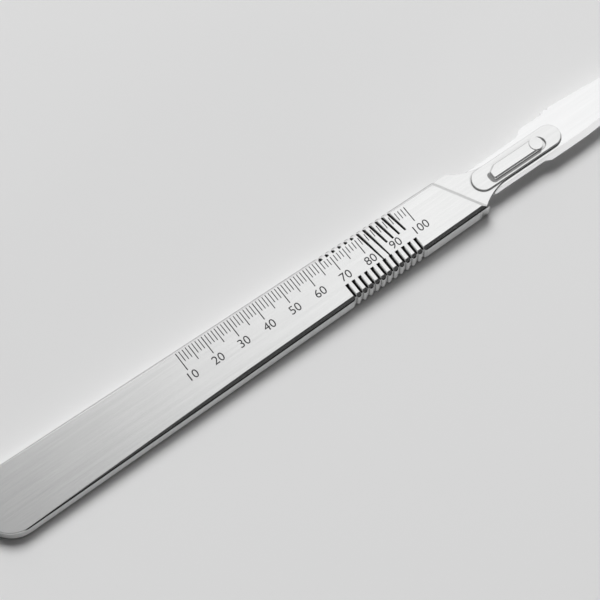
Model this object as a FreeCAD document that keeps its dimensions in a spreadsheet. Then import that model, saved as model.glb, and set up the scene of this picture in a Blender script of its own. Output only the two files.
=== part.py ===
import FreeCAD, Part
import math
import os
import re
from FreeCAD import Placement, Rotation, Vector
from Sketcher import Constraint

# A flat surgical knife handle with a graduated face, and the blade snapped on its nib.
# Both pieces are drawn in millimetres from the foot of the shoulder, on the centreline:
# +X runs towards the blade's tip, +Y towards the graduated edge and +Z up from the table.

SIZES = {
    # the shank
    "body_length": (94.15, "butt end to the foot of the shoulder, on the centreline"),
    "butt_width": (11.5, "width just before the butt's round corners"),
    "butt_corner": (5.2, "radius of the butt's two corners"),
    "butt_thickness": (2.3, "thickness at the butt end"),
    "front_width": (8.9, "width at the foot of the shoulder"),
    "front_thickness": (3.7, "thickness at the foot of the shoulder"),
    "edge_round": (0.2, "rounding of the long edges and of the butt"),
    "bevel_butt": (0.12, "width of the face bevels at the butt"),
    "bevel_middle": (0.64, "width of the face bevels at the middle of the shank"),
    "bevel_front": (0.6, "width of the face bevels at the shoulder"),
    # the shoulder and the neck
    "shoulder_slant": (28.8, "angle of the shoulder, from square to the axis, in degrees"),
    "shoulder_drop": (0.8, "height of the shoulder above the neck"),
    "neck_sweep": (10.6, "radius of the neck's two hollow sides"),
    "neck_reach": (7.6, "foot of the shoulder to the middle of where the hollow sides end"),
    "neck_skew": (0.75, "how far the lower hollow ends ahead of that, and the upper one behind"),
    "tang_width": (4.1, "width of the tang"),
    "tang_length": (20.3, "foot of the shoulder to the tang's round end"),
    "tang_thickness": (0.28, "thickness of the tang above the blade, without the raised land"),
    "heel_gap": (0.2, "clearance behind the blade's heel"),
    # the raised land and the rib on the tang
    "land_height": (0.36, "height of the raised land above the neck"),
    "land_start": (2.5, "foot of the shoulder to the land's rear end"),
    "land_bevel": (0.1, "bevel on the upper edges of the land and the rib"),
    "rib_start": (5.9, "foot of the shoulder to the rib's rear end"),
    "rib_length": (9.4, "length of the rib, to the middle of its boss"),
    "rib_width": (2.06, "width of the rib"),
    "rib_shift": (0.18, "how far the rib lies off the centreline, towards the cutting edge"),
    "rib_height": (0.75, "height of the rib above the land"),
    "rib_slant": (1.4, "length of the slanted part of the rib's rear end"),
    "rib_square": (1.25, "width of the square part of the rib's rear end"),
    "rib_corner": (0.35, "radius of the rib's rear corners"),
    "rib_cove": (0.6, "radius of the hollow at the foot of the rib"),
    "boss_radius": (1.14, "radius of the round boss at the rib's front end"),
    "boss_shift": (0.22, "how far the boss lies off the centreline, towards the cutting edge"),
    "boss_height": (0.12, "height of the boss above the rib"),
    "pit_radius": (1.3, "radius of the pit in front of the boss"),
    "pit_ahead": (0.6, "how far the pit lies ahead of the boss"),
    "pit_depth": (0.42, "depth of the pit"),
    # the grip
    "grip_count": (12, "grooves along each edge"),
    "grip_pitch": (1.25, "distance between neighbouring grooves"),
    "grip_front": (11.2, "foot of the shoulder to the last groove"),
    "lower_width": (0.62, "width of a lower groove"),
    "lower_depth": (0.42, "depth of a lower groove"),
    "upper_width": (0.6, "width of an upper groove"),
    "upper_depth": (0.4, "depth of an upper groove at the shank's edge"),
    "upper_sink": (1.9, "how steeply the upper grooves deepen towards that edge, in degrees"),
    "groove_inner": (1.95, "centreline to the inner ends of the lower grooves"),
    "groove_lean": (7.4, "lean of the upper grooves, in degrees"),
    "long_count": (2, "upper grooves that run on into the lower ones"),
    "middle_count": (4, "upper grooves that end at the centreline"),
    "nick_length": (0.5, "length of the remaining upper grooves inside the bevel"),
    "gap_width": (0.26, "floor width of the gaps between the knuckles on the sides"),
    "gap_depth": (0.28, "depth of those gaps"),
    # the nib under the tang, which the blade snaps on
    "nib_start": (7.0, "foot of the shoulder to the nib's rear face"),
    "nib_length": (10.0, "length of the nib's waist"),
    "nib_waist": (1.6, "width of the waist, where the blade's slot sits"),
    "nib_head": (2.6, "width of the head under the blade"),
    "head_height": (0.55, "height of the head"),
    "nose_length": (2.2, "length of the head's tapered nose"),
    # the blade
    "blade_reach": (44.35, "foot of the shoulder to the blade's tip"),
    "blade_thickness": (0.4, "thickness of the sheet"),
    "fit_gap": (0.04, "clearance above and below the blade"),
    "slot_gap": (0.08, "clearance around the nib in the blade's slot"),
    "heel_reach": (4.78, "foot of the shoulder to the heel's lower corner"),
    "tail_lower": (3.07, "centreline to the tail's lower edge"),
    "tail_upper": (2.83, "centreline to the tail's upper edge"),
    "tail_crown": (3.08, "centreline to the upper edge where the blade widens"),
    "tail_end": (13.48, "foot of the shoulder to where the upper edge widens"),
    "ramp_length": (2.3, "length of the curved slope up to the spine"),
    "step_reach": (15.18, "foot of the shoulder to the step at the rear of the cutting edge"),
    "step_length": (1.0, "length of that step"),
    "edge_lower": (3.59, "centreline to the cutting edge where it starts"),
    "spine_start": (4.03, "centreline to the spine where it starts"),
    "spine_crest": (4.43, "centreline to the spine at its two notches"),
    "spine_tip": (2.93, "centreline to the spine's line at the tip"),
    "notch_place": (20.28, "foot of the shoulder to the first notch in the spine"),
    "notch_pitch": (1.0, "distance between the two notches"),
    "notch_size": (0.32, "depth of a notch, and half its width"),
    "belly_start": (20.9, "foot of the shoulder to where the cutting edge starts to curve"),
    "belly_reach": (32.9, "foot of the shoulder to where the belly tightens"),
    "belly_radius": (62.0, "radius of the belly's long part"),
    "grind_width": (1.1, "width of the ground bevel along the cutting edge"),
    "edge_land": (0.06, "thickness left at the cutting edge"),
    "wide_slot": (2.85, "width of the slot's wide rear part"),
    "wide_reach": (11.0, "foot of the shoulder to where the slot narrows"),
}

doc = FreeCAD.newDocument("scalpel")
sheet = doc.addObject("Spreadsheet::Sheet", "Sizes")
for row, (alias, (size, note)) in enumerate(SIZES.items(), start=1):
    sheet.set(f"A{row}", alias)
    sheet.set(f"B{row}", str(size))
    sheet.set(f"C{row}", note)
    sheet.setAlias(f"B{row}", alias)
doc.recompute()

# Shapes that follow from the sizes, as formulas in the words of the sheet
HALF_FRONT = "front_width / 2"
HALF_BUTT = "butt_width / 2"
SIDE_SLOPE = f"(({HALF_BUTT} - {HALF_FRONT}) / (body_length - butt_corner))"
FACE_SLOPE = "((front_thickness - butt_thickness) / body_length)"
NECK_TOP = "(front_thickness - shoulder_drop)"
TANG_UNDER = f"({NECK_TOP} - tang_thickness)"
BLADE_TOP = f"({TANG_UNDER} - fit_gap)"
NECK_UNDER = f"({BLADE_TOP} - blade_thickness - fit_gap)"
LAND_TOP = f"({NECK_TOP} + land_height)"
LAND_RIM = "(tang_width - rib_width) / 2 - rib_shift - 1.5 * land_bevel"
COVE = f"min(rib_cove; rib_height - 1.5 * land_bevel; {LAND_RIM})"
GRIP_REAR = "(0 - grip_front - (grip_count - 1) * grip_pitch)"
BEYOND = "2"


def formula(text):
    """The same formula with every size's name pointing at the sheet."""
    def point(word):
        return "Sizes." + word[0] if word[0] in SIZES else word[0]

    return re.sub(r"[a-z]\w+", point, text)


def value(text):
    """What a formula gives now."""
    return float(sheet.evalExpression(formula(text)))


def half_width(x):
    """Half the shank's width at x, which is negative on the shank."""
    return f"({HALF_FRONT} - ({x}) * {SIDE_SLOPE})"


def thickness(x):
    """The shank's thickness at x."""
    return f"(front_thickness + ({x}) * {FACE_SLOPE})"


def bind(thing, **formulas):
    """Tie each named property of a feature to its formula."""
    for name, text in formulas.items():
        thing.setExpression(name, formula(text))


def datum(body, role):
    """One of the body's own planes or axes."""
    return next(item for item in body.Origin.OriginFeatures if item.Role == role)


def sketch_on(body, name, role, offset="0", shift="0", turn="0", tilt="0"):
    """An empty sketch, offset from one of the body's own planes along that plane's normal.
    It can also be shifted along its own x axis, turned about its y axis and tilted about its x axis."""
    sketch = body.newObject("Sketcher::SketchObject", name)
    sketch.AttachmentSupport = [(datum(body, role), "")]
    sketch.MapMode = "FlatFace"
    axis = Vector(value(tilt), value(turn), 0)
    place = Vector(value(shift), 0, value(offset))
    settings = {"Base.x": shift, "Base.z": offset}
    turned = Rotation()
    if axis.Length > 0:
        turned = Rotation(axis, axis.Length)
        settings.update({
            "Rotation.Axis.x": tilt,
            "Rotation.Axis.y": turn,
            "Rotation.Angle": f"sqrt(({tilt}) ^ 2 + ({turn}) ^ 2)",
        })
    sketch.AttachmentOffset = Placement(place, turned)
    bind(sketch, **{"AttachmentOffset." + key: text for key, text in settings.items() if text != "0"})
    return sketch


def pin_point(sketch, name, item, end, corner):
    """Hold one end of a line or arc at a corner given by two formulas."""
    for axis, text in zip("XY", corner):
        label = f"{name}_{axis.lower()}"
        index = sketch.addConstraint(Constraint("Distance" + axis, -1, 1, item, end, value(text)))
        sketch.renameConstraint(index, label)
        sketch.setExpression("Constraints." + label, formula(text))


def pin_centre(sketch, name, item, start, end):
    """Hold a half circle's centre level with its ends, which share one coordinate."""
    axis, text = ("X", start[0]) if start[0] == end[0] else ("Y", start[1])
    index = sketch.addConstraint(Constraint("Distance" + axis, -1, 1, item, 3, value(text)))
    sketch.renameConstraint(index, name)
    sketch.setExpression("Constraints." + name, formula(text))


def size_arc(sketch, name, item, radius):
    index = sketch.addConstraint(Constraint("Radius", item, value(radius)))
    sketch.renameConstraint(index, name)
    sketch.setExpression("Constraints." + name, formula(radius))


def arc_between(start, end, radius, turn):
    """The short arc from start to end: turn is 1 to the left, -1 to the right."""
    chord = end - start
    outward = Vector(chord.y, -chord.x, 0).normalize() * turn
    to_centre = math.sqrt(max(radius**2 - chord.Length**2 / 4, 0))
    crown = (start + end) / 2 + outward * (radius - to_centre)
    return Part.Arc(start, crown, end)


def outline(sketch, name, corners, arcs=None):
    """Draw a closed outline through its corners. arcs maps a corner's number to (radius, turn)
    where an arc leaves that corner, with no radius for a half circle; the rest is straight."""
    arcs = arcs or {}
    places = [Vector(value(x), value(y), 0) for x, y in corners]
    items = []
    for number, start in enumerate(places):
        end = places[(number + 1) % len(places)]
        if number in arcs:
            radius, turn = arcs[number]
            size = value(radius) if radius else (end - start).Length / 2
            curve = arc_between(start, end, size, turn)
        else:
            curve = Part.LineSegment(start, end)
        items.append(sketch.addGeometry(curve, False))
    ends = []
    for number, item in enumerate(items):
        turned = number in arcs and arcs[number][1] < 0
        ends.append((2, 1) if turned else (1, 2))
    for number, item in enumerate(items):
        after = (number + 1) % len(items)
        sketch.addConstraint(Constraint("Coincident", item, ends[number][1], items[after], ends[after][0]))
        pin_point(sketch, f"{name}_{number}", item, ends[number][0], corners[number])
        if number not in arcs:
            continue
        if arcs[number][0]:
            size_arc(sketch, f"{name}_{number}_radius", item, arcs[number][0])
        else:
            pin_centre(sketch, f"{name}_{number}_centre", item, corners[number], corners[after])


def circle(sketch, name, centre, radius):
    place = Vector(value(centre[0]), value(centre[1]), 0)
    item = sketch.addGeometry(Part.Circle(place, Vector(0, 0, 1), value(radius)), False)
    pin_point(sketch, name, item, 3, centre)
    size_arc(sketch, name + "_radius", item, radius)


def guide(sketch, name, start, end):
    """A construction line that features are repeated along."""
    places = [Vector(value(x), value(y), 0) for x, y in (start, end)]
    item = sketch.addGeometry(Part.LineSegment(*places), True)
    pin_point(sketch, name + "_start", item, 1, start)
    pin_point(sketch, name + "_end", item, 2, end)
    return (sketch, ["Axis0"])


def extrude(body, kind, name, profile, length, reverse=False, **settings):
    """A Pad or Pocket of the given length, or right through when length is None."""
    feature = body.newObject("PartDesign::" + kind, name)
    feature.Profile = profile
    if length is None:
        feature.Type = "ThroughAll"
    else:
        bind(feature, Length=length)
    feature.Reversed = reverse
    for key, setting in settings.items():
        setattr(feature, key, setting)
    return feature


def repeat(body, name, feature, direction, count, pitch):
    """Repeat a feature along a guide line or one of the body's axes."""
    pattern = body.newObject("PartDesign::LinearPattern", name)
    pattern.Originals = [feature]
    pattern.Direction = direction
    pattern.Mode = "Spacing"
    bind(pattern, Offset=pitch, Occurrences=count)
    body.Tip = pattern


def dress_edges(body, kind, name, block, chosen, **sizes):
    """A Fillet or Chamfer on the edges of a block whose middle points are chosen."""
    doc.recompute()
    edges = enumerate(block.Shape.Edges, start=1)
    names = [f"Edge{number}" for number, edge in edges if chosen(edge.discretize(3)[1])]
    dressing = body.newObject("PartDesign::" + kind, name)
    dressing.Base = (block, names)
    bind(dressing, **sizes)
    return dressing


def make_body(label):
    body = doc.addObject("PartDesign::Body", label)
    body.Label = label
    bind(body, **{"Placement.Base.x": "(body_length - blade_reach) / 2"})
    return body


def shank(body):
    """The flat bar: its plan, the taper of its face, its rounded edges and its two bevels."""
    plan = sketch_on(body, "shank_plan", "XY_Plane")
    lead = f"{HALF_FRONT} * tan(shoulder_slant)"
    front = [(lead, f"0 - {HALF_FRONT}"), (f"0 - {lead}", HALF_FRONT)]
    centre_x = "0 - body_length + butt_corner"
    centre_y = f"{HALF_BUTT} - butt_corner"
    lean = math.atan(value(SIDE_SLOPE))
    radius = value("butt_corner")
    side_x = value(centre_x) + radius * math.sin(lean)
    side_y = value(centre_y) + radius * math.cos(lean)
    end_x = value("0 - body_length")
    end_y = value(centre_y)
    front_lower, front_upper = [Vector(value(x), value(y), 0) for x, y in front]
    side_upper, side_lower = [Vector(side_x, turn * side_y, 0) for turn in (1, -1)]
    end_upper, end_lower = [Vector(end_x, turn * end_y, 0) for turn in (1, -1)]
    nose = plan.addGeometry(Part.LineSegment(front_lower, front_upper), False)
    upper = plan.addGeometry(Part.LineSegment(front_upper, side_upper), False)
    upper_round = plan.addGeometry(arc_between(side_upper, end_upper, radius, 1), False)
    end = plan.addGeometry(Part.LineSegment(end_upper, end_lower), False)
    lower_round = plan.addGeometry(arc_between(end_lower, side_lower, radius, 1), False)
    lower = plan.addGeometry(Part.LineSegment(side_lower, front_lower), False)
    plan.addConstraint(Constraint("Coincident", nose, 2, upper, 1))
    plan.addConstraint(Constraint("Tangent", upper, 2, upper_round, 1))
    plan.addConstraint(Constraint("Tangent", upper_round, 2, end, 1))
    plan.addConstraint(Constraint("Tangent", end, 2, lower_round, 1))
    plan.addConstraint(Constraint("Tangent", lower_round, 2, lower, 1))
    plan.addConstraint(Constraint("Coincident", lower, 2, nose, 1))
    pin_point(plan, "front_lower", nose, 1, front[0])
    pin_point(plan, "front_upper", nose, 2, front[1])
    pin_point(plan, "corner_upper", upper_round, 3, (centre_x, centre_y))
    pin_point(plan, "corner_lower", lower_round, 3, (centre_x, f"0 - ({centre_y})"))
    size_arc(plan, "corner_radius", upper_round, "butt_corner")
    extrude(body, "Pad", "shank_blank", plan, f"front_thickness + {BEYOND}")

    # the face falls away from the shoulder to the butt
    side = sketch_on(body, "face_line", "XZ_Plane")
    ahead = f"{lead} + {BEYOND}"
    behind = f"(0 - body_length - {BEYOND})"
    outline(side, "face", [
        (ahead, thickness(ahead)),
        (ahead, f"front_thickness + 2 * {BEYOND}"),
        (behind, f"front_thickness + 2 * {BEYOND}"),
        (behind, thickness(behind)),
    ])
    slope = guide(side, "slope", ("0", thickness("0")), ("1", thickness("1")))
    face_cut = extrude(body, "Pocket", "face_cut", side, None, Midplane=True)

    # small rounding along the sides and round the butt, above and below
    def on_rim(point):
        behind_shoulder = point.x < -point.y * math.tan(math.radians(value("shoulder_slant"))) - 1e-3
        level = abs(point.z) < 1e-4 or abs(point.z - value(thickness(point.x))) < 1e-4
        return level and behind_shoulder

    dress_edges(body, "Fillet", "edge_rounding", face_cut, on_rim, Radius="edge_round")

    # the bevel grows from the butt to the middle and then runs on to the shoulder
    stations = [
        (f"(0 - body_length - {BEYOND})", "bevel_butt"),
        ("(0 - body_length / 2)", "bevel_middle"),
        (f"({lead} + {BEYOND})", "bevel_front"),
    ]
    sections = []
    for number, (x, width) in enumerate(stations):
        section = sketch_on(body, f"bevel_section_{number}", "YZ_Plane", x)
        outline(section, "bevel", [
            (f"{half_width(x)} + {BEYOND}", f"{thickness(x)} - {width} - {BEYOND}"),
            (f"{half_width(x)} + {BEYOND}", f"{thickness(x)} + {BEYOND}"),
            (f"{half_width(x)} - {width} - {BEYOND}", f"{thickness(x)} + {BEYOND}"),
        ])
        sections.append(section)
    bevel = body.newObject("PartDesign::SubtractiveLoft", "upper_bevel")
    bevel.Profile = sections[0]
    bevel.Sections = sections[1:]
    bevel.Ruled = True
    mirrored = body.newObject("PartDesign::Mirrored", "lower_bevel")
    mirrored.Originals = [bevel]
    mirrored.MirrorPlane = (datum(body, "XZ_Plane"), [""])
    body.Tip = mirrored
    return slope


def heel_line(y):
    """Where the blade's seat starts at y, just behind the slanted heel."""
    return f"heel_reach - heel_gap - tan(shoulder_slant) * (tail_lower + {y})"


def neck_and_tang(body):
    """The neck below the shoulder, with hollow sides, and the round-ended tang. The tang is
    thinner than the neck by the blade that lies under it, flush with the neck's underside."""
    plate = sketch_on(body, "neck_plan", "XY_Plane", NECK_UNDER)
    half_tang = "tang_width / 2"
    sweep = f"sqrt(neck_sweep ^ 2 - (neck_sweep - {HALF_FRONT} + {half_tang}) ^ 2)"
    upper_end = "neck_reach - neck_skew"
    lower_end = "neck_reach + neck_skew"
    rear = f"0 - {HALF_FRONT} * tan(shoulder_slant) - {BEYOND} / 2"
    outline(plate, "neck", [
        (rear, f"0 - {HALF_FRONT}"),
        (f"{lower_end} - {sweep}", f"0 - {HALF_FRONT}"),
        (lower_end, f"0 - {half_tang}"),
        (f"tang_length - {half_tang}", f"0 - {half_tang}"),
        (f"tang_length - {half_tang}", half_tang),
        (upper_end, half_tang),
        (f"{upper_end} - {sweep}", HALF_FRONT),
        (rear, HALF_FRONT),
    ], {1: ("neck_sweep", -1), 3: (None, 1), 5: ("neck_sweep", -1)})
    extrude(body, "Pad", "neck", plate, f"{NECK_TOP} - {NECK_UNDER}")

    seat = sketch_on(body, "seat_plan", "XY_Plane", NECK_UNDER)
    outline(seat, "seat", [
        (heel_line(f"0 - {HALF_FRONT}"), f"0 - {HALF_FRONT}"),
        (f"tang_length + {BEYOND}", f"0 - {HALF_FRONT}"),
        (f"tang_length + {BEYOND}", HALF_FRONT),
        (heel_line(HALF_FRONT), HALF_FRONT),
    ])
    extrude(body, "Pocket", "blade_seat", seat, f"{TANG_UNDER} - {NECK_UNDER}", reverse=True)


def shoulder_bevel(body):
    """The shoulder leans back from its foot at 45 degrees, along a line slanted across the face."""
    side = f"({HALF_FRONT} + {BEYOND})"
    foot = f"{side} * tan(shoulder_slant)"
    rise = f"(shoulder_drop + {BEYOND})"
    leaning = sketch_on(body, "shoulder_line", "XZ_Plane", side, foot, "shoulder_slant")
    outline(leaning, "shoulder", [
        ("0", NECK_TOP),
        (f"2 * {BEYOND}", NECK_TOP),
        (f"2 * {BEYOND}", f"{NECK_TOP} + {rise}"),
        (f"0 - {rise}", f"{NECK_TOP} + {rise}"),
    ])
    extrude(body, "Pocket", "shoulder", leaning, f"2 * {side} / cos(shoulder_slant)")


def land_and_rib(body):
    """The raised land on the tang, and the rib on it with hollow flanks. A round boss ends the
    rib, with a small pit in front of it."""
    land = sketch_on(body, "land_plan", "XY_Plane", NECK_TOP)
    half_tang = "tang_width / 2"
    rear = f"land_start + {half_tang}"
    front = f"tang_length - {half_tang}"
    outline(land, "land", [
        (rear, f"0 - {half_tang}"),
        (front, f"0 - {half_tang}"),
        (front, half_tang),
        (rear, half_tang),
    ], {1: (None, 1), 3: (None, 1)})
    block = extrude(body, "Pad", "land", land, "land_height")
    land_top = value(LAND_TOP)
    dress_edges(body, "Chamfer", "land_edge", block,
                lambda point: abs(point.z - land_top) < 1e-4, Size="land_bevel")

    boss_x = "(rib_start + rib_length)"
    rib = sketch_on(body, "rib_plan", "XY_Plane", LAND_TOP)
    lower = "(0 - rib_shift - rib_width / 2)"
    upper = "(rib_width / 2 - rib_shift)"
    outline(rib, "rib", [
        ("rib_start", lower),
        (boss_x, lower),
        (boss_x, upper),
        ("rib_start + rib_slant", upper),
        ("rib_start", f"{lower} + rib_square"),
    ])
    block = extrude(body, "Pad", "rib", rib, "rib_height")

    # its rear corners are rounded, and its foot and its top edge are dressed up to the boss
    rib_top = land_top + value("rib_height")
    reach = (value("rib_start") - 1e-3, value(boss_x) - 1e-3)
    half_land = value(half_tang) - 2 * value("land_bevel")

    def on_rib(point, level):
        return abs(point.z - level) < 1e-4 and reach[0] < point.x < reach[1] and abs(point.y) < half_land

    block = dress_edges(body, "Fillet", "rib_corners", block,
                        lambda point: on_rib(point, (land_top + rib_top) / 2), Radius="rib_corner")
    block = dress_edges(body, "Fillet", "rib_coves", block,
                        lambda point: on_rib(point, land_top), Radius=COVE)
    dress_edges(body, "Chamfer", "rib_edge", block,
                lambda point: on_rib(point, rib_top), Size="land_bevel")

    boss_y = "0 - boss_shift"
    pit = sketch_on(body, "pit_plan", "XY_Plane", LAND_TOP)
    circle(pit, "pit", (f"{boss_x} + pit_ahead", boss_y), "pit_radius")
    extrude(body, "Pocket", "pit", pit, "pit_depth")
    boss = sketch_on(body, "boss_plan", "XY_Plane", f"{LAND_TOP} - pit_depth")
    circle(boss, "boss", (boss_x, boss_y), "boss_radius")
    extrude(body, "Pad", "boss", boss, "rib_height + pit_depth + boss_height")


def groove(body, name, direction, count, x, y, outward, under=False):
    """A row of V grooves from y out through the shank's upper (1) or lower (-1) edge.
    The upper ones are finer and lean, so they start further back the nearer y is to their edge,
    and on the face they get deeper and wider towards that edge."""
    if outward > 0:
        kind, lean = "upper", "groove_lean"
        place = f"({x} - tan({lean}) * ({y} + groove_inner))"
    else:
        kind, lean = "lower", "0"
        place = f"({x})"
    depth = f"{kind}_depth"
    face = thickness(place)
    sink = "0"
    floor, mouth = f"{face} - {depth}", f"{face} + {depth}"
    if under:
        floor, mouth = depth, f"0 - {depth}"
    elif outward > 0:
        sink = "(0 - upper_sink)"
        rise = f"({half_width(place)} - ({y})) * tan(upper_sink)"
        floor, mouth = f"{floor} + {rise}", f"{mouth} + {rise}"
    section = sketch_on(body, name + "_section", "XZ_Plane", f"0 - ({y})", place, lean, sink)
    outline(section, "groove", [("0", floor), (f"{kind}_width", mouth), (f"0 - {kind}_width", mouth)])
    cut = extrude(body, "Pocket", name, section, None, reverse=outward < 0)
    repeat(body, name + "_row", cut, direction, count, "grip_pitch")


def knuckle_gaps(body, name, outward):
    """The narrow gaps between the round knuckles on one side of the grip, through the full height."""
    x = GRIP_REAR
    if outward > 0:
        x = f"({x} - tan(groove_lean) * ({half_width(x)} + groove_inner))"
    plan = sketch_on(body, name + "_plan", "XY_Plane")
    sign = "" if outward > 0 else "0 - "
    wall = f"{sign}({half_width(x)})"
    floor = f"{sign}({half_width(x)} - gap_depth)"
    clear = f"{sign}({half_width(x)} + {BEYOND})"
    knuckle = "(((grip_pitch - gap_width) ^ 2 / 4 + gap_depth ^ 2) / (2 * gap_depth))"
    outline(plan, "gap", [
        (f"{x} - gap_width / 2", floor),
        (f"{x} + gap_width / 2", floor),
        (f"{x} + grip_pitch / 2", wall),
        (f"{x} + grip_pitch / 2", clear),
        (f"{x} - grip_pitch / 2", clear),
        (f"{x} - grip_pitch / 2", wall),
    ], {1: (knuckle, -outward), 5: (knuckle, -outward)})
    edge = [(place, f"{sign}({half_width(place)})") for place in ("0", "1")]
    side = guide(plan, "side", *edge)
    cut = extrude(body, "Pocket", name, plan, None, Midplane=True)
    repeat(body, name + "_row", cut, side, "grip_count", "grip_pitch")


def grip(body, slope):
    """Twelve grooves along each edge: the lower ones are short and square, and of the upper ones
    two run right across, four end at the centreline and the rest only nick the bevel."""
    nicks = "(grip_count - long_count - middle_count)"
    lower_y = "(0 - groove_inner)"
    nick_y = f"({half_width(GRIP_REAR)} - bevel_front - nick_length)"
    long_x = f"({GRIP_REAR} + {nicks} * grip_pitch)"
    middle_x = f"({long_x} + long_count * grip_pitch)"
    level = (datum(body, "X_Axis"), [""])
    groove(body, "lower_grooves", slope, "grip_count", GRIP_REAR, lower_y, -1)
    groove(body, "long_grooves", slope, "long_count", long_x, "(0 - groove_inner - upper_width)", 1)
    groove(body, "middle_grooves", slope, "middle_count", middle_x, "0", 1)
    groove(body, "nicks", slope, nicks, GRIP_REAR, nick_y, 1)
    groove(body, "under_lower_grooves", level, "grip_count", GRIP_REAR, lower_y, -1, under=True)
    groove(body, "under_upper_grooves", level, "grip_count", GRIP_REAR, "groove_inner", 1, under=True)
    knuckle_gaps(body, "lower_gaps", -1)
    knuckle_gaps(body, "upper_gaps", 1)


def nib(body):
    """The nib under the tang: a waist that fills the blade's slot and a wider head that holds it."""
    half_waist = "nib_waist / 2"
    half_head = "nib_head / 2"
    front = "(nib_start + nib_length)"
    waist = sketch_on(body, "nib_waist_plan", "XY_Plane", TANG_UNDER)
    outline(waist, "waist", [
        ("nib_start", f"0 - {half_waist}"),
        (f"{front} - {half_waist}", f"0 - {half_waist}"),
        (f"{front} - {half_waist}", half_waist),
        ("nib_start", half_waist),
    ], {1: (None, 1)})
    extrude(body, "Pad", "nib_waist_block", waist, f"{TANG_UNDER} - {NECK_UNDER}", reverse=True)
    head = sketch_on(body, "nib_head_plan", "XY_Plane", NECK_UNDER)
    outline(head, "head", [
        ("nib_start", f"0 - {half_head}"),
        (f"{front} - nose_length", f"0 - {half_head}"),
        (front, f"0 - {half_waist} / 2"),
        (front, f"{half_waist} / 2"),
        (f"{front} - nose_length", half_head),
        ("nib_start", half_head),
    ])
    extrude(body, "Pad", "nib_head_block", head, "head_height", reverse=True)


def make_handle():
    body = make_body("handle")
    slope = shank(body)
    neck_and_tang(body)
    shoulder_bevel(body)
    land_and_rib(body)
    grip(body, slope)
    nib(body)
    return body


def make_blade():
    """The stamped blade, its keyhole slot, and the bevel ground on both faces of its edge."""
    body = make_body("blade")
    plan = sketch_on(body, "blade_plan", "XY_Plane", f"{BLADE_TOP} - blade_thickness")
    belly_rise = "(belly_radius - sqrt(belly_radius ^ 2 - (belly_reach - belly_start) ^ 2))"
    belly_y = f"({belly_rise} - edge_lower)"
    run = "(blade_reach - belly_reach)"
    climb = f"(spine_tip - {belly_y})"
    turn = f"(atan({climb} / {run}) - asin((belly_reach - belly_start) / belly_radius))"
    tip_radius = f"sqrt({run} ^ 2 + {climb} ^ 2) / (2 * sin({turn}))"
    first = "notch_place"
    second = "(notch_place + notch_pitch)"
    ramp_middle = "(tail_end + ramp_length / 2)"
    ramp_height = "(spine_start - tail_crown)"
    ramp_radius = f"((ramp_length ^ 2 + {ramp_height} ^ 2) / (4 * {ramp_height}))"
    outline(plan, "blade", [
        ("heel_reach", "0 - tail_lower"),
        ("step_reach", "0 - tail_lower"),
        ("step_reach + step_length", "0 - edge_lower"),
        ("belly_start", "0 - edge_lower"),
        ("belly_reach", belly_y),
        ("blade_reach", "spine_tip"),
        (f"{second} + notch_size", "spine_crest"),
        (second, "spine_crest - notch_size"),
        (f"{second} - notch_size", "spine_crest"),
        (f"{first} + notch_size", "spine_crest"),
        (first, "spine_crest - notch_size"),
        (f"{first} - notch_size", "spine_crest"),
        (f"{first} - 1.5 * notch_size", "spine_start"),
        ("tail_end + ramp_length", "spine_start"),
        (ramp_middle, "(spine_start + tail_crown) / 2"),
        ("tail_end", "tail_crown"),
        ("heel_reach - tan(shoulder_slant) * (tail_lower + tail_upper)", "tail_upper"),
    ], {3: ("belly_radius", 1), 4: (tip_radius, 1), 13: (ramp_radius, 1), 14: (ramp_radius, -1)})
    sheet_metal = extrude(body, "Pad", "blade_sheet", plan, "blade_thickness")
    doc.recompute()

    grind = body.newObject("PartDesign::Chamfer", "ground_edge")
    start = value("step_reach + step_length")
    tip = value("blade_reach")
    names = []
    for number, edge in enumerate(sheet_metal.Shape.Edges, start=1):
        ends = [vertex.Point for vertex in edge.Vertexes]
        level = abs(ends[0].z - ends[1].z) < 1e-6
        along = all(start - 1e-4 <= point.x <= tip + 1e-4 for point in ends)
        low = edge.discretize(3)[1].y < value("spine_tip") - 1 and min(point.y for point in ends) < 0
        if level and along and low:
            names.append(f"Edge{number}")
    grind.Base = (sheet_metal, names)
    grind.ChamferType = "Two distances"
    bind(grind, Size="(blade_thickness - edge_land) / 2", Size2="grind_width")

    slot = sketch_on(body, "slot_plan", "XY_Plane", BLADE_TOP)
    half_slot = "(nib_waist / 2 + slot_gap)"
    half_wide = "wide_slot / 2"
    front = "(nib_start + nib_length + slot_gap)"
    outline(slot, "slot", [
        ("nib_start - slot_gap", f"0 - {half_wide}"),
        ("wide_reach", f"0 - {half_wide}"),
        ("wide_reach", f"0 - {half_slot}"),
        (f"{front} - {half_slot}", f"0 - {half_slot}"),
        (f"{front} - {half_slot}", half_slot),
        ("wide_reach", half_slot),
        ("wide_reach", half_wide),
        ("nib_start - slot_gap", half_wide),
    ], {3: (None, 1)})
    extrude(body, "Pocket", "keyhole_slot", slot, None, Midplane=True)
    return body


parts = [make_handle(), make_blade()]
doc.recompute()
for item in doc.Objects:
    faults = [state for state in item.State if state in ("Invalid", "Error")]
    if faults:
        raise RuntimeError(f"{item.Name} did not build: {faults}")
os.makedirs("parts", exist_ok=True)
for body in parts:
    shape = body.Shape
    if shape.isNull() or not shape.isValid() or len(shape.Solids) != 1:
        raise RuntimeError(f"{body.Label} is not one sound solid")
    shape.exportStep(f"parts/{body.Label}.step")
    print(body.Label, round(shape.Volume, 1), "mm3,", len(shape.Faces), "faces")
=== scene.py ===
import math

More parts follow.
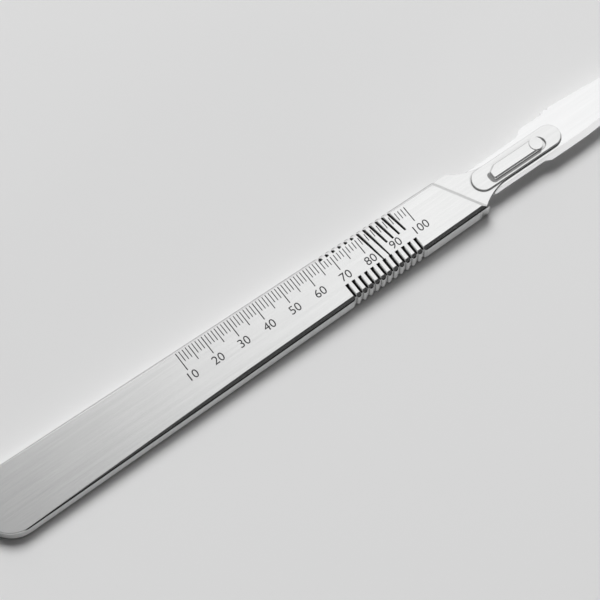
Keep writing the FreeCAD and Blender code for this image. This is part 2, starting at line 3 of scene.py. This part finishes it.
import bmesh
import bpy
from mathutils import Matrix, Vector


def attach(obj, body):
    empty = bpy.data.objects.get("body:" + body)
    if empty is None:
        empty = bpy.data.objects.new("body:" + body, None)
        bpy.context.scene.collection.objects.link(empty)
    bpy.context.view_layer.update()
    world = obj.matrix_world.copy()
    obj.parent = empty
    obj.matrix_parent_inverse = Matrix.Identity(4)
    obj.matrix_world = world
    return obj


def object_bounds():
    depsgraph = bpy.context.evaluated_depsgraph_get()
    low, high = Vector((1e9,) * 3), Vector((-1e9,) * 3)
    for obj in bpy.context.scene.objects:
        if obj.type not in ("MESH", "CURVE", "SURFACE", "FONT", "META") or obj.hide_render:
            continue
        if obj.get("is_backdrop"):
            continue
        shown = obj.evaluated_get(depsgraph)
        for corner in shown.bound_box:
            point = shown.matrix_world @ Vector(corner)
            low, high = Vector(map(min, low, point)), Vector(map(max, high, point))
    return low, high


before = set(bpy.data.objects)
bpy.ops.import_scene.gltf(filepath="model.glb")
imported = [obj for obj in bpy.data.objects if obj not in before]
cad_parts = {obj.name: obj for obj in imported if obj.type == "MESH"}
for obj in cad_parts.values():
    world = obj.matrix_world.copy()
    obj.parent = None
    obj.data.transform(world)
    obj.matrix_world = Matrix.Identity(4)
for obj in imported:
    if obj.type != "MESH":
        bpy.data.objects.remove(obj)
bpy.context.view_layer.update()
MM = 0.001

# The camera
# A long lens looks down on the handle from beyond its lower edge, with the
# butt at the lower left and the blade running out of the upper right corner.
camera_data = bpy.data.cameras.new("camera")
camera_data.sensor_width = 36
camera_data.lens = 150
camera_data.clip_start = 0.01
camera = bpy.data.objects.new("camera", camera_data)
bpy.context.collection.objects.link(camera)
bpy.context.scene.camera = camera
camera_turn = math.radians(-36.308)
camera_height = math.radians(66)
camera_distance = 405.4 * MM
looked_at = Vector((-6.855, 1.479, 0)) * MM
back = Vector((
    math.sin(camera_turn) * math.cos(camera_height),
    -math.cos(camera_turn) * math.cos(camera_height),
    math.sin(camera_height),
))
camera.location = looked_at + back * camera_distance
camera.rotation_euler = (math.pi / 2 - camera_height, 0, camera_turn)


# The handle
# One forged and milled bar of stainless steel, finished satin with a fine belt along
# its length. The faces carry long faint scratches; shade is painted dark into the grooves and a
# highlight along the edges.
def new_group(name, inputs, outputs):
    """An empty shared effect with its sockets: the group, its way in and its way out."""
    group = bpy.data.node_groups.new(name, "ShaderNodeTree")
    for label, kind, default in inputs:
        socket = group.interface.new_socket(label, in_out="INPUT", socket_type=kind)
        if default is not None:
            socket.default_value = default
    for label, kind in outputs:
        group.interface.new_socket(label, in_out="OUTPUT", socket_type=kind)
    return group, group.nodes.new("NodeGroupInput"), group.nodes.new("NodeGroupOutput")


def belt_grain():
    """Long faint scratches along one direction, with slow changes of tone over them."""
    group, given, result = new_group(
        "belt grain",
        [("Position", "NodeSocketVector", None), ("Stretch", "NodeSocketVector", None),
         ("Depth", "NodeSocketFloat", 0.3), ("Normal", "NodeSocketVector", None)],
        [("Lines", "NodeSocketFloat"), ("Streaks", "NodeSocketFloat"),
         ("Clouds", "NodeSocketFloat"), ("Normal", "NodeSocketVector")],
    )
    nodes, links = group.nodes, group.links
    scaled = nodes.new("ShaderNodeVectorMath")
    scaled.operation = "MULTIPLY"
    links.new(given.outputs["Position"], scaled.inputs[0])
    links.new(given.outputs["Stretch"], scaled.inputs[1])
    lines = nodes.new("ShaderNodeTexNoise")
    lines.inputs["Scale"].default_value = 1.0
    lines.inputs["Detail"].default_value = 4.0
    lines.inputs["Roughness"].default_value = 0.65
    links.new(scaled.outputs[0], lines.inputs["Vector"])
    clouds = nodes.new("ShaderNodeTexNoise")
    clouds.inputs["Scale"].default_value = 90.0
    clouds.inputs["Detail"].default_value = 3.0
    links.new(given.outputs["Position"], clouds.inputs["Vector"])
    wide = nodes.new("ShaderNodeVectorMath")
    wide.operation = "SCALE"
    wide.inputs["Scale"].default_value = 0.25
    links.new(scaled.outputs[0], wide.inputs[0])
    streaks = nodes.new("ShaderNodeTexNoise")
    streaks.inputs["Scale"].default_value = 1.0
    streaks.inputs["Detail"].default_value = 2.0
    links.new(wide.outputs[0], streaks.inputs["Vector"])
    streak_mask = nodes.new("ShaderNodeMapRange")
    streak_mask.inputs["From Min"].default_value = 0.35
    streak_mask.inputs["From Max"].default_value = 0.65
    streak_mask.inputs["To Min"].default_value = -0.25
    streak_mask.inputs["To Max"].default_value = 0.25
    links.new(streaks.outputs["Fac"], streak_mask.inputs["Value"])
    bump = nodes.new("ShaderNodeBump")
    bump.inputs["Distance"].default_value = 0.00002
    links.new(given.outputs["Depth"], bump.inputs["Strength"])
    links.new(lines.outputs["Fac"], bump.inputs["Height"])
    links.new(given.outputs["Normal"], bump.inputs["Normal"])
    links.new(lines.outputs["Fac"], result.inputs["Lines"])
    links.new(streak_mask.outputs["Result"], result.inputs["Streaks"])
    links.new(clouds.outputs["Fac"], result.inputs["Clouds"])
    links.new(bump.outputs["Normal"], result.inputs["Normal"])
    return group


def soft_edges():
    """A normal that rounds every sharp edge a little, and a mask of those edges."""
    group, given, result = new_group(
        "soft edges",
        [("Radius", "NodeSocketFloat", 0.00006)],
        [("Normal", "NodeSocketVector"), ("Edge", "NodeSocketFloat")],
    )
    nodes, links = group.nodes, group.links
    rounded = nodes.new("ShaderNodeBevel")
    rounded.samples = 6
    links.new(given.outputs["Radius"], rounded.inputs["Radius"])
    flat = nodes.new("ShaderNodeNewGeometry")
    facing = nodes.new("ShaderNodeVectorMath")
    facing.operation = "DOT_PRODUCT"
    links.new(rounded.outputs["Normal"], facing.inputs[0])
    links.new(flat.outputs["Normal"], facing.inputs[1])
    edge = nodes.new("ShaderNodeMapRange")
    edge.inputs["From Min"].default_value = 0.995
    edge.inputs["From Max"].default_value = 0.9
    links.new(facing.outputs["Value"], edge.inputs["Value"])
    links.new(rounded.outputs["Normal"], result.inputs["Normal"])
    links.new(edge.outputs["Result"], result.inputs["Edge"])
    return group


def painted_hollow_shade():
    """A mask of the places that lie deep in a groove or close beside a step, where shade is
    painted into the colour.
    """
    group, given, result = new_group(
        "painted_hollow_shade",
        [("Reach", "NodeSocketFloat", 0.0005), ("Open", "NodeSocketFloat", 0.9),
         ("Closed", "NodeSocketFloat", 0.6)],
        [("Mask", "NodeSocketFloat")],
    )
    nodes, links = group.nodes, group.links
    sky = nodes.new("ShaderNodeAmbientOcclusion")
    sky.samples = 8
    links.new(given.outputs["Reach"], sky.inputs["Distance"])
    mask = nodes.new("ShaderNodeMapRange")
    links.new(sky.outputs["AO"], mask.inputs["Value"])
    links.new(given.outputs["Open"], mask.inputs["From Min"])
    links.new(given.outputs["Closed"], mask.inputs["From Max"])
    links.new(mask.outputs["Result"], result.inputs["Mask"])
    return group


grain_group = belt_grain()
edge_group = soft_edges()
painted_shade_group = painted_hollow_shade()


def steel(name, dark, light, edge_highlight_tone, rough, rough_spread, stretch, depth, edge_radius, painted_shade_reach):
    """A stainless finish: dark and light are its two tones, the edge tone a painted highlight on
    its edges, rough its mean roughness, and the last argument the reach of the shade painted into
    its grooves."""
    material = bpy.data.materials.new(name)
    material.use_nodes = True
    nodes, links = material.node_tree.nodes, material.node_tree.links
    shader = nodes["Principled BSDF"]
    shader.inputs["Metallic"].default_value = 1.0
    place = nodes.new("ShaderNodeTexCoord")
    edges = nodes.new("ShaderNodeGroup")
    edges.node_tree = edge_group
    edges.inputs["Radius"].default_value = edge_radius
    grain = nodes.new("ShaderNodeGroup")
    grain.node_tree = grain_group
    grain.inputs["Stretch"].default_value = stretch
    grain.inputs["Depth"].default_value = depth
    links.new(place.outputs["Object"], grain.inputs["Position"])
    links.new(edges.outputs["Normal"], grain.inputs["Normal"])
    links.new(grain.outputs["Normal"], shader.inputs["Normal"])

    tone = nodes.new("ShaderNodeMix")
    tone.data_type = "RGBA"
    tone.inputs[6].default_value = (*dark, 1)
    tone.inputs[7].default_value = (*light, 1)
    streaks = nodes.new("ShaderNodeMath")
    streaks.operation = "ADD"
    streaks.use_clamp = True
    links.new(grain.outputs["Clouds"], streaks.inputs[0])
    links.new(grain.outputs["Streaks"], streaks.inputs[1])
    links.new(streaks.outputs[0], tone.inputs[0])
    # painted highlight: the colour is lifted to the edge tone along every edge
    edge_highlight = nodes.new("ShaderNodeMix")
    edge_highlight.data_type = "RGBA"
    edge_highlight.inputs[7].default_value = (*edge_highlight_tone, 1)
    links.new(tone.outputs[2], edge_highlight.inputs[6])
    links.new(edges.outputs["Edge"], edge_highlight.inputs[0])
    # painted shade: the colour goes nearly black where ambient occlusion finds a groove or the
    # foot of a step
    shade = nodes.new("ShaderNodeGroup")
    shade.node_tree = painted_shade_group
    shade.inputs["Reach"].default_value = painted_shade_reach
    shaded = nodes.new("ShaderNodeMix")
    shaded.data_type = "RGBA"
    shaded.inputs[7].default_value = (0.035, 0.034, 0.033, 1)
    links.new(edge_highlight.outputs[2], shaded.inputs[6])
    links.new(shade.outputs["Mask"], shaded.inputs[0])
    links.new(shaded.outputs[2], shader.inputs["Base Color"])

    spread = nodes.new("ShaderNodeMapRange")
    spread.inputs["From Min"].default_value = 0.3
    spread.inputs["From Max"].default_value = 0.7
    spread.inputs["To Min"].default_value = rough - rough_spread
    spread.inputs["To Max"].default_value = rough + rough_spread
    links.new(grain.outputs["Lines"], spread.inputs["Value"])
    links.new(spread.outputs["Result"], shader.inputs["Roughness"])
    return material


handle_steel = steel(
    "satin steel",
    dark=(0.725, 0.727, 0.725), light=(0.785, 0.787, 0.785), edge_highlight_tone=(0.88, 0.88, 0.88),
    rough=0.2, rough_spread=0.02, stretch=(120, 9000, 9000), depth=0.12,
    edge_radius=0.00005, painted_shade_reach=0.0005,
)

# The sides of the shank are ground coarser than its faces, so they look milky. Its bevels get a
# painted highlight, and the painted shade in the grooves is weaker on the tang.
nodes, links = handle_steel.node_tree.nodes, handle_steel.node_tree.links
shader = nodes["Principled BSDF"]


def between(value, none, full, low=0.0, high=1.0):
    """A value turned into a mask: low at none, high at full."""
    mask = nodes.new("ShaderNodeMapRange")
    mask.inputs["From Min"].default_value = none
    mask.inputs["From Max"].default_value = full
    mask.inputs["To Min"].default_value = low
    mask.inputs["To Max"].default_value = high
    links.new(value, mask.inputs["Value"])
    return mask.outputs["Result"]


def times(first, second):
    """The product of two values."""
    product = nodes.new("ShaderNodeMath")
    product.operation = "MULTIPLY"
    links.new(first, product.inputs[0])
    links.new(second, product.inputs[1])
    return product.outputs[0]


def size_of(value):
    """The value without its sign."""
    size = nodes.new("ShaderNodeMath")
    size.operation = "ABSOLUTE"
    links.new(value, size.inputs[0])
    return size.outputs[0]


def retone(tone, mask):
    """Lay a tone over the steel's own colour where the mask is high, under the shade."""
    laid = nodes.new("ShaderNodeMix")
    laid.data_type = "RGBA"
    laid.inputs[7].default_value = (tone, tone, tone, 1)
    shaded = shader.inputs["Base Color"].links[0].from_node
    links.new(shaded.inputs[6].links[0].from_socket, laid.inputs[6])
    links.new(mask, laid.inputs[0])
    links.new(laid.outputs[2], shaded.inputs[6])


surface = nodes.new("ShaderNodeTexCoord")
facing = nodes.new("ShaderNodeSeparateXYZ")
links.new(surface.outputs["Normal"], facing.inputs[0])
place_on = nodes.new("ShaderNodeSeparateXYZ")
links.new(surface.outputs["Object"], place_on.inputs[0])
shank_end = 26.2 * MM
on_shank = between(place_on.outputs["X"], shank_end, shank_end - 1.0 * MM)
upright = size_of(facing.outputs["Z"])
side_mask = times(between(upright, 0.5, 0.2), on_shank)
links.new(between(side_mask, 0.0, 1.0, 1.0, 0.35), shader.inputs["Metallic"])

sideways = size_of(facing.outputs["Y"])
bevel = times(between(facing.outputs["Z"], 0.5, 0.6), between(sideways, 0.5, 0.6))
# painted highlight: the bevels' colour is raised near white to stand in for a brighter reflection
retone(0.96, times(bevel, on_shank))

# the outer rim of each bevel gets a fine painted dark line, standing in for the dark reflection
# of a rounded edge
shoulder_foot = 24.9
side_slope = 1.3 / 88.95
outer_half_width = 4.45
rim = (outer_half_width + shoulder_foot * side_slope) * MM
widening = nodes.new("ShaderNodeMath")
widening.operation = "MULTIPLY_ADD"
widening.inputs[1].default_value = side_slope
links.new(place_on.outputs["X"], widening.inputs[0])
links.new(size_of(place_on.outputs["Y"]), widening.inputs[2])
# painted dark reflection: a thin dark line along the rim of the bevels
retone(0.3, times(bevel, between(widening.outputs[0], rim - 0.17 * MM, rim - 0.13 * MM)))

# the painted groove shade is kept at 0.4 of its strength on the tang
shaded = shader.inputs["Base Color"].links[0].from_node
painted_shade_mask = shaded.inputs[0].links[0].from_socket
links.new(times(painted_shade_mask, between(on_shank, 0.0, 1.0, 0.4, 1.0)), shaded.inputs[0])

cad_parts["handle"].data.materials.clear()
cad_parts["handle"].data.materials.append(handle_steel)


# The graduation
# Fine lines cut into the satin face and blackened. Every eighth line is long and has
# a number below it, and the one halfway between two numbers is of middle length.
face_top = 3.7
face_rise = 1.4 / 94.15
face_half_width = 3.85


def face_height(x):
    """The height of the handle's face, in millimetres, at x in millimetres."""
    return face_top + (x - shoulder_foot) * face_rise


def upper_edge(x):
    """Where the face ends and its upper bevel starts."""
    return face_half_width + (shoulder_foot - x) * side_slope


mark_black = bpy.data.materials.new("blackened engraving")
mark_black.use_nodes = True
mark_shader = mark_black.node_tree.nodes["Principled BSDF"]
mark_shader.inputs["Roughness"].default_value = 0.6
mark_shader.inputs["Metallic"].default_value = 0.1
mark_place = mark_black.node_tree.nodes.new("ShaderNodeTexCoord")
mark_wear = mark_black.node_tree.nodes.new("ShaderNodeTexNoise")
mark_wear.inputs["Scale"].default_value = 1500.0
mark_tone = mark_black.node_tree.nodes.new("ShaderNodeMix")
mark_tone.data_type = "RGBA"
mark_tone.inputs[6].default_value = (0.02, 0.02, 0.022, 1)
mark_tone.inputs[7].default_value = (0.06, 0.06, 0.063, 1)
mark_black.node_tree.links.new(mark_place.outputs["Object"], mark_wear.inputs["Vector"])
mark_black.node_tree.links.new(mark_wear.outputs["Fac"], mark_tone.inputs[0])
mark_black.node_tree.links.new(mark_tone.outputs[2], mark_shader.inputs["Base Color"])

first_mark = -29.2
mark_gap = 0.6225
marks_per_number = 8
numbers = 10
mark_rise = 0.004
mark_sink = 0.02
shortest_mark = 0.9
edge_gap = 0.01

# each kind of line: its length and half its width
long_mark = (3.45, 0.082)
middle_mark = (2.85, 0.075)
short_mark = (1.95, 0.071)

# the six sides of a line's cut, by the corners of its foot (0 to 3) and its top (4 to 7)
cut_sides = ((3, 2, 1, 0), (4, 5, 6, 7), (0, 1, 5, 4), (1, 2, 6, 5), (2, 3, 7, 6), (3, 0, 4, 7))

# the leaning grooves of the grip: where each is at groove_foot, and how far in it ends
groove_lean = math.tan(math.radians(7.4))
groove_foot = -1.95
groove_clear = 0.34
groove_pitch = 1.25
first_groove = -0.05
groove_end_clear = 0.1
groove_ends = [3.66] * 6 + [-2.55] * 2 + [0.0] * 4
upper_grooves = [
    (first_groove + number * groove_pitch, end) for number, end in enumerate(groove_ends)
]


def clear_of_grooves(x, low, high):
    """The parts of a line at x, from low to high, that no groove crosses."""
    kept = [(low, high)]
    for foot, groove_end in upper_grooves:
        lowest = groove_end - groove_end_clear
        near = max(groove_foot + (foot - groove_clear - x) / groove_lean, lowest)
        far = max(groove_foot + (foot + groove_clear - x) / groove_lean, lowest)
        left_over = []
        for start, end in kept:
            left_over += [(start, min(end, near)), (max(start, far), end)]
        kept = [(start, end) for start, end in left_over if end - start > shortest_mark]
    return kept


marks = bmesh.new()
for number in range((numbers - 1) * marks_per_number + 1):
    x = first_mark + number * mark_gap
    if number % marks_per_number == 0:
        length, half = long_mark
    elif number % marks_per_number == marks_per_number / 2:
        length, half = middle_mark
    else:
        length, half = short_mark
    top = upper_edge(x) - edge_gap
    for low, high in clear_of_grooves(x, top - length, top):
        corners = []
        left, right = x - half, x + half
        for lift in (-mark_sink, mark_rise):
            for px, py in ((left, low), (right, low), (right, high), (left, high)):
                corner = Vector((px, py, face_height(px) + lift)) * MM
                corners.append(marks.verts.new(corner))
        for side in cut_sides:
            marks.faces.new([corners[index] for index in side])
marks_mesh = bpy.data.meshes.new("graduation")
marks.to_mesh(marks_mesh)
marks.free()
marks_mesh.materials.append(mark_black)
graduation = bpy.data.objects.new("graduation", marks_mesh)
bpy.context.collection.objects.link(graduation)
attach(graduation, "root")


# The numbers
# Plain upright numerals cut with the same fine point as the lines, one below
# each long line, reading along the handle.
number_size = 2.15
number_level = -0.07
number_shift = 0.08
number_drop = 0.1
number_sink = 0.008
number_depth = 0.012
face_tilt = math.atan(face_rise)
for step in range(numbers):
    letters = bpy.data.curves.new(f"number_{step + 1}0", "FONT")
    letters.body = str((step + 1) * 10)
    letters.size = number_size * MM
    letters.align_x = "CENTER"
    letters.align_y = "CENTER"
    letters.extrude = number_depth * MM
    letters.resolution_u = 4
    letters.materials.append(mark_black)
    numeral = bpy.data.objects.new(f"number_{step + 1}0", letters)
    bpy.context.collection.objects.link(numeral)
    x = first_mark + step * marks_per_number * mark_gap
    y = number_level - number_drop * step
    numeral.location = Vector((x + number_shift, y, face_height(x) - number_sink)) * MM
    numeral.rotation_euler = (0, -face_tilt, 0)
    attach(numeral, "root")


# The blade
# A stamped blade of bright rolled sheet, ground along its curved edge and snapped
# on the nib under the tang. Its scratches are shallower than the handle's.
blade_steel = steel(
    "bright blade steel",
    dark=(0.8, 0.802, 0.804), light=(0.84, 0.842, 0.844), edge_highlight_tone=(0.9, 0.9, 0.9),
    rough=0.2, rough_spread=0.03, stretch=(60, 6000, 6000), depth=0.08,
    edge_radius=0.00003, painted_shade_reach=0.0003,
)

# the ground bevel along the cutting edge is left from the stone, matt and pale
nodes, links = blade_steel.node_tree.nodes, blade_steel.node_tree.links
shader = nodes["Principled BSDF"]
surface = nodes.new("ShaderNodeTexCoord")
facing = nodes.new("ShaderNodeSeparateXYZ")
links.new(surface.outputs["Normal"], facing.inputs[0])
ground = between(facing.outputs["Z"], 0.996, 0.992)
links.new(between(ground, 0.0, 1.0, 1.0, 0.12), shader.inputs["Metallic"])
retone(0.97, ground)

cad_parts["blade"].data.materials.clear()
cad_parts["blade"].data.materials.append(blade_steel)


# The table
# A plain table top in matt pale paint, wide enough to fill the picture. It belongs
# to the picture only, and lies a hair under the tool.
table_data = bpy.data.meshes.new("table")
table_shape = bmesh.new()
bmesh.ops.create_grid(table_shape, x_segments=1, y_segments=1, size=2.5)
table_shape.to_mesh(table_data)
table_shape.free()
table = bpy.data.objects.new("table", table_data)
table.location = (0, 0, -0.00001)
bpy.context.collection.objects.link(table)
table_paint = bpy.data.materials.new("pale table")
table_paint.use_nodes = True
table_shader = table_paint.node_tree.nodes["Principled BSDF"]
table_shader.inputs["Base Color"].default_value = (0.79, 0.79, 0.79, 1)
table_shader.inputs["Roughness"].default_value = 0.75
table_shader.inputs["Specular IOR Level"].default_value = 0.2
table_data.materials.append(table_paint)
table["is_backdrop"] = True


# The light
# One soft lamp from beyond the upper edge lights the table and throws the wide shadow.
# A low lamp fills the near side. Neither lamp shows in the steel.
lamp_data = bpy.data.lights.new("soft lamp", "AREA")
lamp_data.shape = "RECTANGLE"
lamp_data.size = 1.1
lamp_data.size_y = 1.1
lamp_data.energy = 35
lamp = bpy.data.objects.new("soft lamp", lamp_data)
bpy.context.collection.objects.link(lamp)
lamp_direction = Vector((0.3, 0.6, 0.9)).normalized()
lamp.location = lamp_direction * 2.0
lamp.rotation_euler = lamp_direction.to_track_quat("Z", "Y").to_euler()
lamp.visible_glossy = False

fill_data = bpy.data.lights.new("low lamp", "AREA")
fill_data.shape = "RECTANGLE"
fill_data.size = 0.7
fill_data.size_y = 0.06
fill_data.energy = 5.5
fill = bpy.data.objects.new("low lamp", fill_data)
bpy.context.collection.objects.link(fill)
fill_direction = Vector((0.3, -0.95, 0.06)).normalized()
fill.location = fill_direction * 1.2
fill.rotation_euler = fill_direction.to_track_quat("Z", "Y").to_euler()
fill.visible_glossy = False


# The room that the steel mirrors
# One end of it is bright, and its walls are dim, with one dark card low in front of the
# bevels. The walls show in the steel alone, and light the table hardly at all.
world = bpy.data.worlds.new("room")
bpy.context.scene.world = world
world.use_nodes = True
nodes, links = world.node_tree.nodes, world.node_tree.links
seen = nodes.new("ShaderNodeTexCoord")


def nearness(direction):
    """How near to a direction the room is looked at, 1 straight at it."""
    product = nodes.new("ShaderNodeVectorMath")
    product.operation = "DOT_PRODUCT"
    product.inputs[1].default_value = Vector(direction).normalized()
    links.new(seen.outputs["Generated"], product.inputs[0])
    return product.outputs["Value"]


bright_direction = (0.75, 0.6, 0.28)
card_direction = (0.2273, -0.9118, 0.342)
card_core = 0.978
card_rim = 0.956
dark_level = 0.025
wall_level = 0.32

bright_end = nodes.new("ShaderNodeValToRGB")
links.new(nearness(bright_direction), bright_end.inputs["Fac"])
room_tones = ((0.53, 0.0), (0.56, 0.72), (0.6, 0.88), (0.65, 1.0), (0.75, 0.8), (1.0, 0.74))
while len(bright_end.color_ramp.elements) < len(room_tones):
    bright_end.color_ramp.elements.new(0.5)
for stop, (position, brightness) in zip(bright_end.color_ramp.elements, room_tones):
    stop.position = position
    stop.color = (brightness, brightness, brightness, 1)
beyond = nodes.new("ShaderNodeSeparateXYZ")
links.new(seen.outputs["Generated"], beyond.inputs[0])
far_half = between(beyond.outputs["Y"], -0.05, 0.12, 0.0, 0.95)
bright = times(bright_end.outputs["Color"], far_half)

ray = nodes.new("ShaderNodeLightPath")
off_card = between(nearness(card_direction), card_core, card_rim)
walls = times(off_card, ray.outputs["Is Glossy Ray"])
dim = between(walls, 0.0, 1.0, dark_level, wall_level)
room_light = nodes.new("ShaderNodeMath")
room_light.operation = "ADD"
links.new(bright, room_light.inputs[0])
links.new(dim, room_light.inputs[1])
links.new(room_light.outputs[0], nodes["Background"].inputs["Color"])

bpy.context.scene.view_settings.view_transform = "Standard"

low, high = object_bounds()
